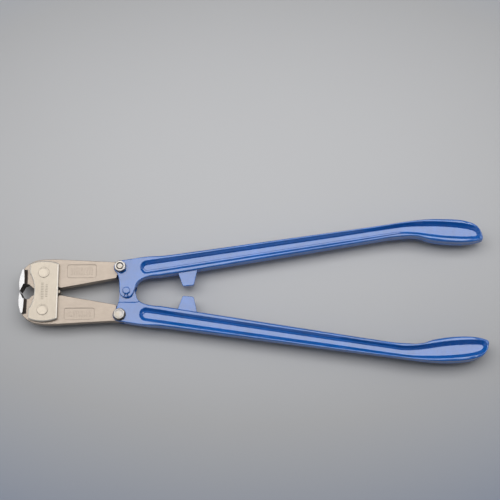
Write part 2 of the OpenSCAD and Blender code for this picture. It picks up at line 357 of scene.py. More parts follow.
def sharp_by_angle(data, limit):
    """Marks edges sharper than limit and shades everything smooth."""
    with editing(data) as work:
        bmesh.ops.remove_doubles(work, verts=work.verts, dist=1e-7)
        bmesh.ops.dissolve_degenerate(work, edges=work.edges, dist=1e-7)
        for face in work.faces:
            face.smooth = True
        for edge in work.edges:
            edge.smooth = len(edge.link_faces) == 2 and edge.calc_face_angle(0.0) < limit


def outward(obj):
    """Turns a closed shell's faces to point out."""
    with editing(obj.data) as work:
        bmesh.ops.recalc_face_normals(work, faces=work.faces)


def mirror(obj, axis):
    """Mirrors the mesh through the drawing frame's zero plane of one axis, with its faces still pointing out."""
    co = np.zeros(len(obj.data.vertices) * 3)
    obj.data.vertices.foreach_get("co", co)
    co[axis::3] = 2 * ORIGIN[axis] * 0.001 - co[axis::3]
    obj.data.vertices.foreach_set("co", co)
    obj.data.flip_normals()
    return obj


# ---------- Finishes ----------

def math_method(operation, swap=False):
    """A method that feeds its terms to one Math node, in reverse order for the reflected form of an operator."""
    def method(self, *others):
        node = self.tree.nodes.new("ShaderNodeMath")
        node.operation = operation
        terms = (*others, self) if swap else (self, *others)
        for place, term in zip(node.inputs, terms):
            if isinstance(term, Value):
                self.tree.links.new(term.socket, place)
            else:
                place.default_value = term
        return Value(self.tree, node.outputs[0])
    return method


class Value:
    """A shader socket that takes part in Python arithmetic."""

    def __init__(self, tree, socket):
        self.tree, self.socket = tree, socket

    __add__ = __radd__ = math_method("ADD")
    __sub__ = math_method("SUBTRACT")
    __rsub__ = math_method("SUBTRACT", swap=True)
    __mul__ = __rmul__ = math_method("MULTIPLY")
    __truediv__ = math_method("DIVIDE")
    above = math_method("GREATER_THAN")
    most = math_method("MAXIMUM")
    size = math_method("ABSOLUTE")
    saw = math_method("FRACT")

    def rise(self, low, high):
        """0 below low and 1 above high, with a smooth step between."""
        node = self.tree.nodes.new("ShaderNodeMapRange")
        node.interpolation_type = "SMOOTHSTEP"
        self.tree.links.new(self.socket, node.inputs["Value"])
        node.inputs["From Min"].default_value = low
        node.inputs["From Max"].default_value = high
        return Value(self.tree, node.outputs["Result"])


class Finish:
    """One material on a Principled shader, with helpers that add nodes to it."""

    def __init__(self, name, **constants):
        self.material = bpy.data.materials.new(name)
        self.material.use_nodes = True
        self.tree = self.material.node_tree
        self.shader = self.tree.nodes["Principled BSDF"]
        self.set(**constants)
        self.place = self.node("ShaderNodeTexCoord").outputs["Object"]

    def feed(self, place, value):
        """Links a value or a socket to the place, or sets the place to a constant."""
        if isinstance(value, Value):
            value = value.socket
        if isinstance(value, bpy.types.NodeSocket):
            self.tree.links.new(value, place)
        else:
            place.default_value = value

    def node(self, kind, settings=None, **sockets):
        """Adds a node with its settings and feeds its sockets."""
        node = self.tree.nodes.new(kind)
        for key, value in (settings or {}).items():
            setattr(node, key, value)
        for key, value in sockets.items():
            self.feed(node.inputs[key.replace("_", " ")], value)
        return node

    def noise(self, scale, detail=3.0, roughness=0.5, stretch=(1, 1, 1)):
        """Noise between 0 and 1 over object coordinates, stretched by scaling each axis."""
        spot = self.node("ShaderNodeMapping", {"vector_type": "POINT"}, Vector=self.place, Scale=stretch)
        node = self.node("ShaderNodeTexNoise", None, Vector=spot.outputs[0], Scale=scale, Detail=detail,
                         Roughness=roughness)
        return Value(self.tree, node.outputs["Fac"])

    def split(self, vector):
        """The three parts of a vector as values."""
        node = self.node("ShaderNodeSeparateXYZ", None, Vector=vector)
        return [Value(self.tree, part) for part in node.outputs]

    def axes(self):
        """Drawing coordinates in millimetres as three values."""
        return [part * 1000.0 - float(start) for part, start in zip(self.split(self.place), ORIGIN)]

    def facing(self):
        """The three parts of the surface normal in object space."""
        spaces = {"vector_type": "NORMAL", "convert_from": "WORLD", "convert_to": "OBJECT"}
        normal = self.node("ShaderNodeNewGeometry").outputs["Normal"]
        return self.split(self.node("ShaderNodeVectorTransform", spaces, Vector=normal).outputs[0])

    def mix(self, factor, a, b):
        """Colour that runs from a to b as factor goes from 0 to 1."""
        node = self.node("ShaderNodeMix", {"data_type": "RGBA"})
        for place, value in ((0, factor), (6, a), (7, b)):
            self.feed(node.inputs[place], value)
        return node.outputs[2]

    def set(self, **sockets):
        """Feeds the shader's own sockets."""
        for key, value in sockets.items():
            self.feed(self.shader.inputs[key.replace("_", " ")], value)

    def bump(self, height, distance, strength=1.0):
        """Height in units of distance, in metres, feeding the normal."""
        node = self.node("ShaderNodeBump", None, Height=height, Distance=distance, Strength=strength)
        self.set(Normal=node.outputs[0])


def rgb(colour, gain=1.0):
    """A property colour as four numbers, scaled by gain."""
    return (colour[0] * gain, colour[1] * gain, colour[2] * gain, 1.0)


def blue_enamel(look):
    """Thick gloss enamel over a casting: orange peel, soft casting waves, a mottled tone and small dark pits."""
    f = Finish("blue_enamel", IOR=1.1, Coat_Weight=look.gloss, Coat_Roughness=0.07, Coat_IOR=1.8)
    cast = f.noise(95.0, 4.0, 0.55)
    waves = f.noise(28.0, 2.0, 0.5)
    peel = f.noise(900.0, 2.0, 0.5)
    pits = f.noise(420.0, 1.0, 0.4).rise(0.72, 0.8)
    tone = f.mix((cast * 0.6 + waves * 0.4).rise(0.3, 0.7), rgb(look.paint, 0.86), rgb(look.paint, 1.16))
    tone = f.mix(pits * 0.35, tone, rgb(look.paint, 0.5))
    f.set(Base_Color=tone, Roughness=0.1 + cast * 0.12)
    f.bump(cast * 0.6 + waves * 1.4 + peel * 0.12 - pits * 0.15, 0.00013, 0.8)
    return f.material


def ground_nickel(f, colour, along, shade):
    """Fine grinding lines over a cloudy tone, which runs from shade to slightly lighter than the colour."""
    lines, cloud = f.noise(1400.0, 2.0, 0.6, stretch=along), f.noise(60.0, 4.0, 0.6)
    tone = f.mix(cloud.rise(0.3, 0.7), rgb(colour, shade), rgb(colour, 1.05))
    return lines, cloud, f.mix(lines.rise(0.35, 0.75) * 0.22, tone, rgb(colour, 0.78))


def satin_nickel(name, colour, rough, along=(1, 1, 1), ticks_and_painted_highlight=False):
    """Ground steel under satin nickel with tiny specks, and on the front cover plate two columns of plain ticks made
    by etching, grey where a sawtooth of the height is in its upper half, and a painted highlight in pale warm on the
    bevel."""
    f = Finish(name, Metallic=0.82, IOR=1.9)
    lines, cloud, tone = ground_nickel(f, colour, along, 0.93)
    specks = f.noise(700.0, 1.0, 0.5).rise(0.66, 0.78)
    tone = f.mix(specks * 0.3, tone, (0.22, 0.18, 0.15, 1))
    if ticks_and_painted_highlight:
        x, y, z = f.axes()
        wide = x.rise(27.2, 27.5) * (1 - x.rise(30.7, 31.0)) * (1 - y.size().rise(11.0, 11.3))
        slim = x.rise(32.9, 33.2) * (1 - x.rise(35.6, 35.9)) * (1 - y.size().rise(8.0, 8.3))
        tick = (y * 0.47 + cloud * 0.2).saw().rise(0.45, 0.6) * wide.most(slim) * z.above(0.0)
        tone = f.mix(tick * 0.75, tone, rgb(colour, 0.4))
        # painted highlight: faces tilted about 18 to 50 degrees from level, the plate's bevel, are lightened towards
        # a pale warm colour
        flat = f.facing()[2].size()
        tone = f.mix(flat.rise(0.6, 0.7) * (1 - flat.rise(0.93, 0.97)) * 0.8, tone, (0.85, 0.8, 0.72, 1))
    f.set(Base_Color=tone, Roughness=rough + lines * 0.12 + cloud * 0.1)
    f.bump(lines * 0.5 + cloud * 0.8, 0.00004, 0.6)
    return f.material


def jaw_steel(look):
    """Satin nickel jaws with dark heat oxidation in the cove behind the bevels and bright ground faces in front of
    it, and painted shade in the cutting notch between the jaws, in the same dark colour, partly oxidation as well.
    nose, bevel and notch_painted_shade are masks over the blade block, its ground bevel and the cutting notch."""
    f = Finish("jaw_steel", IOR=1.9)
    x, y, _ = f.axes()
    nx, _, nz = f.facing()
    lines, cloud, nickel = ground_nickel(f, look.nickel, (0.12, 1, 1), 0.92)
    cross = f.noise(2600.0, 2.0, 0.6, stretch=(1, 0.08, 1))
    blotch = f.noise(240.0, 3.0, 0.6)
    polish = f.mix(cross, (0.66, 0.65, 0.64, 1), (0.84, 0.83, 0.82, 1))
    oxide_and_shade = f.mix(blotch, rgb(look.oxide_and_shade, 0.6), rgb(look.oxide_and_shade, 1.7))
    block = 1 - y.size().rise(28.2, 28.7)
    nose = block * (1 - x.rise(8.5, 9.3))
    bevel = 1 - (x - bevel_back(y.size())).rise(-0.15, 0.1)
    # painted shade: the cutting notch between the jaws is darkened at 0.8 with the cove's dark colour, partly for
    # oxidation and mostly for the shade there
    notch_painted_shade = (1 - y.size().rise(9.3, 9.9)) * (1 - x.rise(9.0, 12.5))
    ground = bevel * block * nz.size().rise(0.3, 0.5).most((nx * -1.0).rise(0.75, 0.9))
    dark = nose.most(notch_painted_shade * 0.8) * (1 - ground)
    tone = f.mix(dark, f.mix(ground, nickel, polish), oxide_and_shade)
    f.set(Base_Color=tone, Metallic=0.82 + ground * 0.18 - dark * 0.5,
          Roughness=0.36 + lines * 0.12 + cloud * 0.1 - ground * 0.18 + dark * 0.1)
    f.bump(lines * 0.5 + cloud * 0.8 + cross * ground * 1.5 + blotch * dark * 2.0, 0.00004, 0.6)
    return f.material


def bright_zinc(look, name, gain):
    """Bright zinc plate: slightly mottled, with a faint warm passivation tint and fine dents."""
    f = Finish(name, Metallic=1.0)
    mottle = f.noise(520.0, 3.0, 0.6)
    warm = f.noise(180.0, 2.0, 0.5)
    tone = f.mix(warm.rise(0.35, 0.7) * 0.6, rgb(look.zinc, gain), (0.30 * gain, 0.25 * gain, 0.18 * gain, 1))
    f.set(Base_Color=tone, Roughness=0.24 + mottle * 0.22)
    f.bump(mottle, 0.00005, 0.6)
    return f.material


def floor_card(look):
    """Matt backdrop card with painted light: pale in the middle and graded out to painted shade, a cooler grey, at
    the edges, with a faint mottle.
    """
    f = Finish("backdrop_card", Roughness=0.9, Specular_IOR_Level=0.15)
    mottle = f.noise(7.0, 3.0, 0.5)
    x, y, _ = f.split(f.place)
    across, along = x / 0.9, (y - 0.14) / 0.56
    # painted light falloff: lighter near the middle, darker towards the edges and corners
    painted_falloff = f.node("ShaderNodeValToRGB", None, Fac=across * across + along * along + (mottle - 0.5) * 0.02)
    stops = [(0.0, rgb(look.backdrop, 1.12)), (0.3, rgb(look.backdrop, 0.86)), (0.62, (0.28, 0.305, 0.36, 1)),
             (1.0, (0.22, 0.24, 0.28, 1))]
    painted_falloff.color_ramp.elements.new(0.5)
    painted_falloff.color_ramp.elements.new(0.5)
    for element, (position, colour) in zip(painted_falloff.color_ramp.elements, stops):
        element.position, element.color = position, colour
    f.set(Base_Color=painted_falloff.outputs["Color"])
    return f.material


# ---------- Properties ----------

def scalar(name, description, default, low, high):
    """A length or a ratio with its limits."""
    return FloatProperty(name=name, description=description, default=default, min=low, max=high)


def swatch(name, description, default):
    """A colour."""
    return FloatVectorProperty(name=name, description=description, subtype="COLOR", size=3, min=0, max=1,
                               default=default)


class NippersSizes(PropertyGroup):
    """Sizes of the visible detail, in millimetres of the drawing frame."""

    rim_round: scalar("Rim round", "Radius of the handle rims along the shaft", 2.6, 1.0, 3.0)
    grip_round: scalar("Grip round", "Radius of the rims at the grip", 3.2, 2.0, 4.0)
    fork_round: scalar("Fork round", "Radius of the handle edges at the fork", 1.1, 0.5, 1.5)
    side_draft: scalar("Side draft", "How far the handle sides lean in from the parting line", 1.1, 0.3, 1.5)
    wall_lean: scalar("Channel wall lean", "Half the width of the sloping channel walls", 1.7, 0.8, 2.0)
    ledge: scalar("Channel ledge", "Width of the ledge at the foot of the inner channel wall", 1.3, 0.3, 1.6)
    web_half: scalar("Web half thickness", "Height of the channel floor above the middle plane", 4.0, 3.0, 4.5)
    plate_bevel: scalar("Plate bevel", "Width of the bevel round the cover plates", 1.3, 0.6, 1.8)
    arm_edge: scalar("Arm edge", "Radius of the edges of the jaw arms", 0.6, 0.2, 1.0)
    bevel_drop: scalar("Bevel drop", "How far the end bevels fall per millimetre towards the front", 0.47, 0.4, 0.6)
    panel_ribs: IntProperty(name="Panel ribs", description="Plain ribs in each size panel", default=9, min=3, max=14)


class NippersLook(PropertyGroup):
    """Colours and gloss of the finishes, and the light."""

    paint: swatch("Paint", "Enamel of the handles", (0.005, 0.105, 0.40))
    gloss: scalar("Gloss", "Weight of the clear gloss over the enamel", 1.0, 0, 1)
    nickel: swatch("Nickel", "Satin nickel of the jaws", (0.37, 0.31, 0.255))
    plate: swatch("Cover plate", "Satin nickel of the cover plates", (0.41, 0.36, 0.295))
    # painted shade: this dark colour also paints the shade in the cutting notch between the jaws, besides the heat
    # oxidation in the cove
    oxide_and_shade: swatch("Oxide", "Dark heat oxide behind the bevels", (0.035, 0.025, 0.02))
    zinc: swatch("Zinc", "Plating of the nuts and bolts", (0.34, 0.33, 0.325))
    backdrop: swatch("Backdrop", "Card under the tool", (0.475, 0.475, 0.478))
    key_power: scalar("Key light", "Power of the softbox overhead", 27.0, 0, 500)


# ---------- Handles ----------

SHAFT_START, SHAFT_END = 185.0, 470.0
FORK_TOP, SHAFT_TOP, GRIP_TOP = 10.0, 8.75, 12.0
SLOT_HALF, LUG_FACE, PARTING_RIDGE = 6.3, 6.1, 0.22
BOLT_BORE, PIN_BORE, TONGUE_BORE = 4.02, 4.02, 6.9
TAIL_ROOM, TONGUE_ROOM = 11, 12.8  # Radii of the round slot bottoms that clear the jaw tail and the tongue


def outer_edge(x):
    """Straight outer edge of the shaft."""
    return 47.4 + 0.1351 * (x - SHAFT_START)


def inner_edge(x):
    """Straight inner edge of the shaft."""
    return 18.1 + 0.1637 * (x - 178)


def handle_outline():
    """Pivot knuckle, leg, link boss, outer edge, grip, inner edge and crotch, as arcs, curves and straight runs."""
    start, stop = np.array([SHAFT_START, outer_edge(SHAFT_START)]), np.array([SHAFT_END, outer_edge(SHAFT_END)])
    crotch = [178, inner_edge(178)]
    return even(closed(
        arc(PIVOT, 9.4, -20, -180, 24),
        bend([125.6, 0], [125.6, 11], [125.2, 17], [121.8, 23.1]),
        arc(LINK, 9, 225, 100, 20),
        bend([160, 44.9], [168, 46.1], [177, 46.3], start),
        bend(stop, [494, 89.1], [514, 93], [537, 93]),
        bend([537, 93], [558, 93], [GRIP_END - 5, 92], [GRIP_END - 0.8, 71], 20),
        arc([GRIP_END - 5, 67.7], 5, 30, -60, 8),
        bend([GRIP_END - 2.5, 63.4], [579, 60.5], [570, 59], [560, 59]),
        bend([560, 59], [546, 59], [532, 60.5], [522, 62.7]),
        bend([522, 62.7], [514, 65.1], [509, 68.5], [496, 68.2]),
        [[SHAFT_END, inner_edge(SHAFT_END)]],
        bend(crotch, [162, 18.1], [148, 16.4], [146.6, 3.7], 16)), 1.3)


def channel_outline():
    """Middle line of the channel walls, from the round end behind the fork to the end of the grip."""
    return even(closed(
        arc([160.5, 30.3], 6.4, 260, 100, 18),
        [[480, 83.3]],
        bend([480, 83.3], [500, 86.1], [518, 86.4], [537, 85.6]),
        bend([537, 85.6], [556, 84.8], [572, 82.8], [580, 79.4]),
        bend([580, 79.4], [585.5, 77], [587, 69.5], [582, 67.9]),
        bend([582, 67.9], [570, 66.6], [556, 67.2], [537, 68.9]),
        bend([537, 68.9], [519, 70.7], [503, 75.2], [480, 73.6])), 1.2)


def smooth_step(x, low, high):
    """0 below low, 1 above high, 3t^2 - 2t^3 between."""
    t = np.clip((x - low) / (high - low), 0, 1)
    return t * t * (3 - 2 * t)


def handle_top(x):
    """Half thickness along the handle: the fork's, the shaft's, the grip's and then down at the tip."""
    top = FORK_TOP + (SHAFT_TOP - FORK_TOP) * smooth_step(x, 166, 202)
    top = top + (GRIP_TOP - SHAFT_TOP) * smooth_step(x, 430, 512)
    return top - 5.2 * np.clip((x - 561) / (GRIP_END - 561), 0, 1) ** 2.2


def rim_round(x, sizes):
    """Radius of the outer edge: small at the fork, larger along the shaft, less at the neck and most at the grip."""
    narrow = 1.9
    r = sizes.fork_round + (narrow - sizes.fork_round) * smooth_step(x, 150, 176)
    r = r + (sizes.rim_round - narrow) * smooth_step(x, 235, 340) - 0.8 * smooth_step(x, 400, 470)
    r = r + (sizes.grip_round - sizes.rim_round + 0.8) * smooth_step(x, 486, 516)
    return r - (sizes.grip_round - narrow) * smooth_step(x, 516, 580)


def handle_solid(sizes):
    """The casting without its slot and bores: side walls lean in from a fine parting ridge, edges are quarter rounds
    whose radius follows the length, and both faces carry a sloping-walled channel with a ledge on its inner side."""
    loop, mid = handle_outline(), channel_outline()
    x, cx, cy = loop[:, 0], mid[:, 0], mid[:, 1]
    top = handle_top(x)
    w = sizes.wall_lean - 0.4 * smooth_step(cx, 380, 460) + 0.5 * smooth_step(cx, 488, 520)
    # Room for the rim between the outline and the channel's mouth: the least, then the mean, of nine neighbours
    gap = gap_to(loop, ring(mid, -w - 1.0, 0)[:, :2]) - 0.75
    for blend in (np.min, np.mean):
        gap = blend([np.roll(gap, k) for k in range(-4, 5)], 0)
    lean = np.minimum(sizes.side_draft * smooth_step(x, 150, 180), 0.3 * gap)
    r = np.minimum(rim_round(x, sizes), gap - lean)
    lean = lean + 0.15
    up = [ring(loop, 0.0, 0.25), ring(loop, PARTING_RIDGE, 0.6)]
    up += rounded_edge(loop, PARTING_RIDGE + lean, r, top, 7)
    up.append(ring(loop, PARTING_RIDGE + lean + r + 0.12, handle_top(ring(loop, 0.35 + lean + r, 0)[:, 0])))
    solid = Solid()
    bottom_rim, top_rim = solid.skin(doubled(up))

    centre = np.interp(cx, [150, 480, 520, 540, 583], [30.3, 78.4, 79.4, 78, 74.5])
    inner_side = smooth_step(centre - cy, 0.5, 3.0) * (1 - 0.8 * smooth_step(cx, 480, 520))
    rise, web, shelf = handle_top(cx), sizes.web_half, sizes.ledge * inner_side
    foot = w - 0.2 - sizes.ledge * 0.5 * inner_side
    brow = ((-1.0, 0), (-0.8, 0), (-0.55, 0.08), (-0.2, 0.35), (0.05, 0.85))
    walls = [ring(mid, reach - w, rise - fall) for reach, fall in brow]
    walls += [ring(mid, foot - 0.35, web + 1.75), ring(mid, foot, web + 1.2),
              ring(mid, foot + 0.15 + shelf, web + 1.0 - 0.35 * (1 - inner_side)),
              ring(mid, foot + 0.45 + shelf, web + 0.2), ring(mid, foot + 0.95 + shelf, web),
              ring(mid, foot + 1.15 + shelf, web)]
    for sign, rim in ((1, top_rim), (-1, bottom_rim)):
        mouth, floor = solid.skin([wall * [1, 1, sign] for wall in walls], flip=sign < 0)
        solid.cap([rim, mouth], flip=sign < 0)
        solid.cap([floor], flip=sign < 0)
    return solid.mesh("handle")


def lug_solid():
    """Stop lug: a thick tapering plate rooted in the shaft, with soft corners and edges."""
    root_in, root_out = [199, inner_edge(199) + 5], [225, inner_edge(225) + 5]
    corners = closed([root_in, [200.2, inner_edge(199) + 1], [206, LUG_FACE], [220, LUG_FACE + 1.35],
                      [224.2, inner_edge(225) + 1], root_out])
    return slab(even(soften(corners, 2.2, 8), 0.4), -6.0, 6.0, 0.7, 4).mesh("lug")


def prism(loop, low, high):
    """Straight-sided cutting tool between two heights."""
    return stack([ring(loop, 0, low), ring(loop, 0, high)]).mesh("tool")


def drill(centre, radius, count=48, low=-30, high=30):
    """Round cutting tool for a bore."""
    return prism(disc(centre, radius, count), low, high)


def shoulder_tool(loop, floor, top, side):
    """Cutting tool whose walls turn outwards in a quarter round just below top, which rounds the edge it leaves."""
    radius = 2.2
    rings = [ring(loop, 0, floor), ring(loop, 0, top - radius)]
    rings += [ring(loop, -radius * c, top - radius * s) for c, s in quarter_round(5, 0.25)]
    rings.append(ring(loop, -radius - 0.2, 18))
    return stack([r * [1, 1, side] for r in rings], flip=side < 0).mesh("tool")


def handle_piece(sizes):
    """Handle with its lug, fork slot and bolt bore, drawn on the upper side."""
    piece = handle_solid(sizes)
    carve(piece, [lug_solid()], "UNION")
    slot = [even(disc(LINK, TAIL_ROOM, 64), 0.5),
            closed(LINK + [[3, 16], [-30, 16], [-30, -16], [-2.4, -14.6]])]
    return carve(piece, [prism(s, -SLOT_HALF, SLOT_HALF) for s in slot] + [drill(LINK, BOLT_BORE)])


class NIPPERS_OT_handles(Operator):
    """Build both handles"""

    bl_idname = "nippers.handles"
    bl_label = "Handles"

    def execute(self, context):
        sizes, paint = context.scene.nippers_sizes, blue_enamel(context.scene.nippers_look)
        upper = handle_piece(sizes)
        clevis = [even(disc(PIVOT, TONGUE_ROOM, 64), 0.5),
                  closed(PIVOT + [[0, 12.8], [-9, 14], [-20, 16], [-20, -16], [12, -16]])]
        carve(upper, [prism(c, -SLOT_HALF, SLOT_HALF) for c in clevis] + [drill(PIVOT, PIN_BORE)])
        dish = [(1.2, 7.0), (1.21, 9.2), (2.2, 9.3), (3.0, 9.95), (3.4, 11)]
        carve(upper, [lathe(dish, LOCK_SCREW, 48).mesh("dish")])
        dress(upper, "upper_handle_body", "upper_handle", "handle_paint", paint, "upper_handle")
        lower = handle_piece(sizes)
        step = closed(PIVOT + [[-20, -20], [-20, 14], [12.5, 14], [14.7, 14], [22, 0], [22, -20]])
        carve(lower, [shoulder_tool(step, 6.0, 10.0, side) for side in (1, -1)] + [drill(PIVOT, TONGUE_BORE, 64)])
        dress(mirror(lower, 1), "lower_handle_body", "lower_handle", "handle_paint", paint, "lower_handle")
        return {"FINISHED"}


# ---------- Jaws ----------

PLATE_INNER, PLATE_OUTER = 6.1, 11.1
SHOULDER, BLADE_BACK, THROAT = 9.5, 4.5, 9.3
LOBE_CORNER = [3.3, 28.3]
ARM_FACE, COVE_FOOT, KNUCKLE = 6.0, 6.05, 23.8
TOOTH, SOCKET, PIN_FIT, TAIL_BORE = 1.8, 2.4, 7.04, 4.05


def arm_outline():
    """Jaw arm under and behind the plates: rolling knuckle, inner edge, tail eye, outer edge and front shoulder."""
    return closed(
        [[BLADE_BACK + 2, THROAT]],
        arc(JAW_PIN, KNUCKLE, 218, 315.5, 40),
        [[50.3, 4.5], [52.4, 4.7]],
        bend([119.5, 16.75], [122.5, 17.3], [122.5, 18], [122, 21], 5),
        arc(LINK, 9, -105, 60, 20),
        [[123, 38.6], [116.6, 38.1], [50, 41.7]],
        bend([50, 41.7], [35, 42.3], [24, 41.9], [17, 39.6], 10),
        [[14.7, 38.5], [10.5, 36.2], [8.3, 34.5], [6.2, 32.5], [4.2, 30.4], LOBE_CORNER, [BLADE_BACK + 2, 26]])


def nose_outline():
    """Blade block in plan: cutting edge, convex front lobe, slanted outer end and square back."""
    return closed(
        [[BLADE_BACK, THROAT], [0, 0.56]],
        bend([0, 0.56], [-2.55, 8], [-2.52, 18], [2.4, 27.4], 40),
        [LOBE_CORNER, [SHOULDER, 27], [SHOULDER, THROAT]])


def bevel_back(y):
    """Back edge of the end bevel in plan, a parabola that bows back from the corners, for numbers and sockets."""
    bow = (y - 12.0) / 16.0
    return 5.9 - bow * bow


def nose_height(x, y, drop):
    """Top of the blade block: the bevel slopes to the front, and a cove, a quarter of a sine, drops behind it."""
    back = bevel_back(y)
    cove = (PLATE_OUTER - COVE_FOOT) * np.sin(np.clip((x - back) / (SHOULDER - back), 0, 1) * math.pi / 2)
    return PLATE_OUTER - cove - drop * np.clip(back - x, 0, None)


def jaw_piece(sizes, panel):
    """Arm with a sunk size panel and plain ribs, joined to the ground blade block, with its two bores."""
    arm = Solid()
    loop = eased(arm_outline(), 0.4, 2.4)
    up = rounded_edge(loop, 0.0, sizes.arm_edge, ARM_FACE, 3) + [ring(loop, sizes.arm_edge + 0.15, ARM_FACE)]
    first, last = arm.skin(doubled(up))
    x0, x1, y0, y1 = panel
    mouth = even(soften(closed([[x0, y0], [x1, y0], [x1, y1], [x0, y1]]), 3.0, 6), 0.7)
    sunk = [ring(mouth, inset, z) for inset, z in ((-0.45, ARM_FACE), (-0.25, ARM_FACE), (0.0, 5.93), (0.25, 5.62),
                                                   (0.5, 5.55), (0.7, 5.55))]
    rim, floor = arm.skin(sunk)
    arm.cap([last, rim])
    arm.cap([floor])
    arm.cap([first], flip=True)
    piece = arm.mesh("arm")

    nose = Solid()
    plan, edge = even(nose_outline(), 0.45), 0.12

    def lift(x, y):
        return nose_height(x, y, sizes.bevel_drop)

    inner = ring(plan, edge, 0)
    up = [ring(plan, 0, lift(plan[:, 0], plan[:, 1]) - edge), ring(plan, edge, lift(inner[:, 0], inner[:, 1]))]
    low, high = nose.skin(doubled(up))
    ends = np.linspace(9.9, 27.3, 70)
    crease = np.column_stack([bevel_back(ends), ends])
    nose.cap([high], lift, 0.45, keep=crease)
    nose.cap([low], lambda x, y: -lift(x, y), 0.45, flip=True, keep=crease)
    carve(piece, [nose.mesh("nose")], "UNION")

    pitch = (x1 - x0 - 8) / sizes.panel_ribs
    ribs = []
    for i in range(sizes.panel_ribs):
        left = x0 + 4 + pitch * (i + 0.3)
        right = left + 0.4 * pitch
        bar = soften(closed([[left, y0 + 4], [right, y0 + 4], [right, y1 - 4], [left, y1 - 4]]), 0.6, 3)
        ribs.append(slab(even(bar, 0.35), 5.2, 5.85, 0.2, 2).mesh("rib"))
    carve(piece, ribs, "UNION")
    return carve(piece, [drill(JAW_PIN, PIN_FIT, 72, -20, 20), drill(LINK, TAIL_BORE, 48, -20, 20)])


class NIPPERS_OT_jaws(Operator):
    """Build both nipper jaws"""

    bl_idname = "nippers.jaws"
    bl_label = "Jaws"

    def execute(self, context):
        sizes, steel = context.scene.nippers_sizes, jaw_steel(context.scene.nippers_look)
        upper = jaw_piece(sizes, (58.7, 96, 17.7, 34.7))
        tooth = even(disc([JAW_PIN[0], 0.05], TOOTH, 48), 0.3)
        carve(upper, [prism(tooth, -5.9, 5.9)], "UNION")
        dress(upper, "upper_jaw_forging", "upper_jaw", "jaw", steel, "upper_jaw")
        lower = jaw_piece(sizes, (56.7, 95, 21.3, 36.2))
        carve(lower, [drill([JAW_PIN[0], 0], SOCKET, 48, -20, 20)])
        dress(mirror(lower, 1), "lower_jaw_forging", "lower_jaw", "jaw", steel, "lower_jaw")
        return {"FINISHED"}


# ---------- Head ----------

def plate_outline():
    """Cover plate: concave front, two straight front edges, crowned ends and a straight back edge."""
    half, depth, crown = 23.3, 6.6, 48.0
    radius = (half**2 + depth**2) / (2 * depth)
    swing, back, lead = (math.degrees(math.asin(s)) for s in (half / radius, 18.0 / crown, 18.4 / crown))
    return closed(
        arc([18.7 - radius, 0], radius, -swing, swing, 40),
        arc([30.5, -9], crown, 90 + lead, 90 - back, 30),
        arc([30.5, 9], crown, back - 90, -90 - lead, 30))


def plate_piece(sizes, front):
    """Plate with a bevel round its outer face and two pin holes, and in front two columns of plain ticks."""
    loop = eased(plate_outline(), 0.4, 2.8)
    b = sizes.plate_bevel
    drop = 0.58 * b
    edge = ((0.35, PLATE_INNER), (0.15, PLATE_INNER), (0.0, PLATE_INNER + 0.15), (0.0, PLATE_OUTER - drop - 0.1),
            (0.12, PLATE_OUTER - drop), (b - 0.2, PLATE_OUTER - 0.08), (b, PLATE_OUTER), (b + 0.2, PLATE_OUTER))
    piece = stack([ring(loop, inset, z) for inset, z in edge]).mesh("plate")
    tools = [drill(JAW_PIN * [1, s], 7.02, 72, 0) for s in (-1, 1)]
    ticks = [(26.2, y, 2.2) for y in np.linspace(-9.5, 9.5, 11)] + [(31.6, y, 1.3) for y in np.linspace(-6.5, 6.5, 9)]
    for x, y, length in ticks if front else []:
        bar = closed([[x, y], [x + length, y], [x + length, y + 0.55], [x, y + 0.55]])
        tools.append(prism(bar, PLATE_OUTER - 0.25, 30))
    carve(piece, tools)
    return piece if front else mirror(piece, 2)


def jaw_pin_piece(side):
    """Riveted pin: a rounded rim round a shallow dish whose middle rises slightly, the same at both ends."""
    reach = PLATE_OUTER + 0.8
    falls = ((7.0, 0.6), (6.95, 0.25), (6.8, 0.08), (6.55, 0), (5.9, 0), (5.5, 0.04), (5.2, 0.12), (4.8, 0.16),
             (3.0, 0.16), (1.4, 0.12))
    end = [(r, reach - fall) for r, fall in falls]
    return lathe([(r, -z) for r, z in end[::-1]] + end, JAW_PIN * [1, side], 96).mesh("jaw_pin")


class NIPPERS_OT_head(Operator):
    """Build the cover plates, the jaw pins and the spacer"""

    bl_idname = "nippers.head"
    bl_label = "Head"

    def execute(self, context):
        sizes, look = context.scene.nippers_sizes, context.scene.nippers_look
        cover = satin_nickel("plate_nickel", look.plate, 0.34, (1, 0.1, 1), ticks_and_painted_highlight=True)
        riveted = satin_nickel("pin_nickel", look.plate, 0.3)
        for front, name in ((True, "front_cover_plate"), (False, "back_cover_plate")):
            dress(plate_piece(sizes, front), name + "_shell", "head", "cover_plate", cover, name, crease=20)
        for side, name in ((1, "upper_jaw_pin"), (-1, "lower_jaw_pin")):
            dress(jaw_pin_piece(side), name + "_rivet", "head", "cover_plate", riveted, name, crease=50)
        block = even(soften(closed([[40.5, -1.7], [50.3, -1.7], [50.3, 1.7], [40.5, 1.7]]), 0.4, 3), 0.3)
        spacer = slab(block, -PLATE_INNER, PLATE_INNER, 0.25, 2).mesh("spacer")
        dress(spacer, "centre_spacer_block", "head", "cover_plate", riveted, "centre_spacer")
        return {"FINISHED"}


# ---------- Link hardware ----------

FACE, WASHER, HEAD_HEIGHT, NUT_HEIGHT, FLATS, SHANK = 10.0, 1.4, 5.3, 6.5, 13.0, 4.0


def hexagon_radius(a):
    """Distance to a hexagon's side: half the flats over the cosine of the angle from the middle of a flat."""
    return FLATS / 2 / np.cos((a % (math.pi / 3)) - math.pi / 6)


